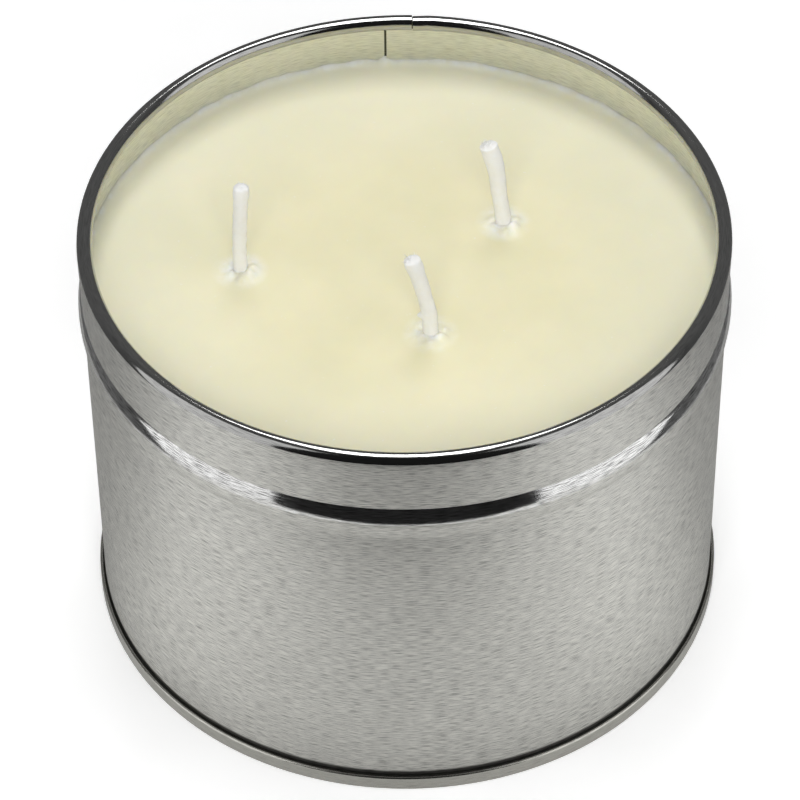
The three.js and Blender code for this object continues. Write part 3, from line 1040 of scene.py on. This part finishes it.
def wick_sustainer(side, plate):
    """A pressed disc whose collar is crimped flat on two sides, to grip the wick."""
    low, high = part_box(f"{side}_wick_sustainer")
    half = SUSTAINER_PLATE / 2
    collar = COLLAR_BORE + half
    outer = (high[0] - low[0]) / 2
    section = [
        *spaced((outer - 0.01 * MM, low[2] + half), (collar + SUSTAINER_FILLET, low[2] + half), 16),
        *arc(collar + SUSTAINER_FILLET, low[2] + half + SUSTAINER_FILLET, SUSTAINER_FILLET, 270, 180, 10),
        *spaced((collar, low[2] + half + 1.2 * SUSTAINER_FILLET), (collar, high[2]), 16),
        (collar, high[2]),
    ]

    def crimp(angle, r, z):
        if r > 2 * collar:
            return 0.0, 0.0
        middle = (low[2] + high[2]) / 2 + 0.8 * MM
        pinched = math.exp(-(((z - middle) / (1.3 * MM)) ** 2))
        return -CRIMP * pinched * abs(math.cos(radians(angle))) ** 6, 0.0

    bm = sheet_mesh(section, np.arange(0, 360, 5.0), wrap=True, ripple=crimp, thickness=SUSTAINER_PLATE)
    bmesh.ops.translate(bm, verts=bm.verts, vec=(*WICK_PLACES[side], 0))
    made = object_of(f"{side}_wick_clip", bm, plate)
    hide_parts(f"{side}_wick_sustainer")
    return made


def wick_sticker(side, foam):
    low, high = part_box(f"{side}_wick_sticker")
    radius, corner = (high[0] - low[0]) / 2, 0.18 * MM
    top = arc(radius - corner, high[2] - corner, corner, 0, 90, 5)
    bottom = arc(radius - corner, low[2] + corner, corner, -90, 0, 5)
    flat = [r * MM for r in (1, 3, 5, 7)]
    outline = [
        (0, low[2]),
        *[(r, low[2]) for r in flat],
        *bottom,
        *top,
        *[(r, high[2]) for r in flat[::-1]],
        (0, high[2]),
    ]
    bm = turned_mesh(outline, 96, WICK_PLACES[side])
    made = object_of(f"{side}_wick_pad", bm, foam)
    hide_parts(f"{side}_wick_sticker")
    return made


# ---------------------------------------------------------------- lights, floor, camera

AIM = Vector((-1.0, 0, 38.6)) * MM
CAMERA_ELEVATION = 45.43
CAMERA_DISTANCE = 0.695
CAMERA_ROLL = 0.6
LENS_MM = 181.9


def camera():
    data = bpy.data.cameras.new("camera")
    data.lens = LENS_MM
    data.sensor_width = 36
    data.clip_start = 0.05
    data.clip_end = 20
    made = bpy.data.objects.new("camera", data)
    bpy.context.scene.collection.objects.link(made)
    tilt = radians(CAMERA_ELEVATION)
    away = Vector((0, -math.cos(tilt), math.sin(tilt)))
    look = (-away).to_track_quat("-Z", "Y")
    roll = Quaternion(-away, radians(CAMERA_ROLL))
    made.matrix_world = Matrix.LocRotScale(AIM + away * CAMERA_DISTANCE, roll @ look, None)
    bpy.context.scene.camera = made


def softbox(name, azimuth, elevation, distance, width, height, glow):
    """A rectangular light. azimuth is from the front towards +X, and glow is its radiance."""
    data = bpy.data.lights.new(name, "AREA")
    data.shape = "RECTANGLE"
    data.size, data.size_y = width, height
    data.energy = glow * math.pi * width * height
    made = bpy.data.objects.new(name, data)
    bpy.context.scene.collection.objects.link(made)
    a, e = radians(azimuth), radians(elevation)
    towards = Vector((math.sin(a) * math.cos(e), -math.cos(a) * math.cos(e), math.sin(e)))
    made.location = AIM + towards * distance
    made.rotation_euler = (-towards).to_track_quat("-Z", "Y").to_euler()
    made.visible_camera = False
    return made


def plane(name, low, high, z, finish):
    bm = bmesh.new()
    corners = [(low[0], low[1]), (high[0], low[1]), (high[0], high[1]), (low[0], high[1])]
    bm.faces.new([bm.verts.new((x, y, z)) for x, y in corners])
    made = object_of(name, bm, finish)
    if made.data.polygons[0].normal.z < 0:
        made.data.flip_normals()
    return made


def room():
    """Dark in front of the tin, where the camera is, and dim behind it."""
    world = bpy.data.worlds.new("room")
    world.use_nodes = True
    tree = world.node_tree
    towards = add(tree, "ShaderNodeTexCoord").outputs["Generated"]
    back = add(tree, "ShaderNodeSeparateXYZ", {0: towards}).outputs[1]
    glow = span(tree, back, -0.4, 0.4, 0.015, 0.13)
    tree.links.new(glow, tree.nodes["Background"].inputs["Strength"])
    tree.nodes["Background"].inputs["Color"].default_value = (1, 1, 1, 1)
    return world


def table_material():
    """Painted shade: greyest in front of the tin and beside it, and darker close to it, where the tin
    shades it.
    """
    made, tree, shader = material("shaded_table")
    place = add(tree, "ShaderNodeTexCoord").outputs["Object"]
    parts = add(tree, "ShaderNodeSeparateXYZ", {0: place})
    front = maths(tree, "MULTIPLY", parts.outputs[1], -1.0)
    turn = maths(tree, "ARCTAN2", maths(tree, "ABSOLUTE", parts.outputs[0]), front)
    out = add(tree, "ShaderNodeVectorMath", {0: place}, operation="LENGTH").outputs[1]
    shade = span(tree, turn, radians(5), radians(50), 0.6, 0.69)
    shade = maths(tree, "MULTIPLY", shade, span(tree, turn, radians(62), radians(90), 1.0, 0.45))
    near = span(tree, out, TIN_RADIUS, TIN_RADIUS + 14 * MM, 0.78, 1.0)
    shade = maths(tree, "MULTIPLY", shade, near)
    tree.links.new(tinted(tree, (1, 1, 0.98), shade), shader.inputs["Base Color"])
    shader.inputs["Roughness"].default_value = 0.8
    return made


def studio():
    white = dull_material("white_paper", (0.95, 0.95, 0.95), 0.9, 200 * MM)
    shader = white.node_tree.nodes["Principled BSDF"]
    shader.inputs["Emission Color"].default_value = (1, 1, 1, 1)
    shader.inputs["Emission Strength"].default_value = 0.36
    floor = plane("floor", (-3, -3), (3, 3), -0.1 * MM, white)
    floor.visible_glossy = False
    floor.visible_shadow = False
    table = plane("table_top", (-0.12, -0.127), (0.12, 0.25), -0.2 * MM, table_material())
    table.visible_camera = False
    table.visible_diffuse = False
    softbox("left_softbox", -63, 12, 0.7, 0.64, 1.55, 0.84)
    softbox("right_softbox", 63, 12, 0.7, 0.64, 1.55, 0.92)
    softbox("overhead_softbox", 180, 74, 0.65, 0.22, 0.4, 6.2)
    fill = softbox("front_fill", 0, 40, 0.9, 0.5, 0.4, 6.1)
    fill.visible_glossy = False
    bpy.context.scene.world = room()
    bpy.context.scene.view_settings.view_transform = "Standard"


# ---------------------------------------------------------------- assembly


def main():
    camera()
    studio()
    # The satin plate carries painted shade in the crevice just above the base seam
    gap_z = SEAM_HEIGHT + 0.35 * MM
    finishes = {
        "satin": tinplate("satin_tinplate", (0.87, 0.865, 0.825), 0.48, 0.0, 1.0, 0.011 * MM, gap_z),
        # The inside's tinplate is yellower than the outside's as a painted reflection of the cream wax
        "inner": tinplate("inner_tinplate", (0.84, 0.845, 0.77), 0.42, 0.0, 0.4, 0.004 * MM),
        "curled": tinplate("curled_tinplate", (0.5, 0.5, 0.49), 0.1, 0.0, 0.5, 0.004 * MM),
        "rubbed": tinplate("rubbed_tinplate", (0.95, 0.95, 0.94), 0.1, 0.0, 1.6, 0.006 * MM),
        "shadowed": tinplate("shadowed_tinplate", (0.13, 0.13, 0.11), 0.6, 0.0, 1.0, 0.01 * MM),
    }
    rolled = tinplate("rolled_tinplate", (0.7, 0.69, 0.64), 0.22, 0.2, 0.5, 0.005 * MM)
    compound = dull_material("sealing_compound", (0.2, 0.22, 0.2), 0.6, 1.5 * MM)
    foam = dull_material("foam_pad", (0.86, 0.86, 0.82), 0.9, 0.6 * MM)
    clip = tinplate("clip_tinplate", (0.7, 0.7, 0.69), 0.3, 0.3, 0.6, 0.005 * MM)
    cotton = cotton_material()
    pieces = [
        tin_body(finishes),
        base_end(rolled),
        base_sealant(compound),
        wax_pour(wax_material()),
    ]
    for side in WICKS:
        pieces += [braided_wick(side, cotton), wick_sustainer(side, clip), wick_sticker(side, foam)]
    for piece in pieces:
        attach(piece, BODY)


main()
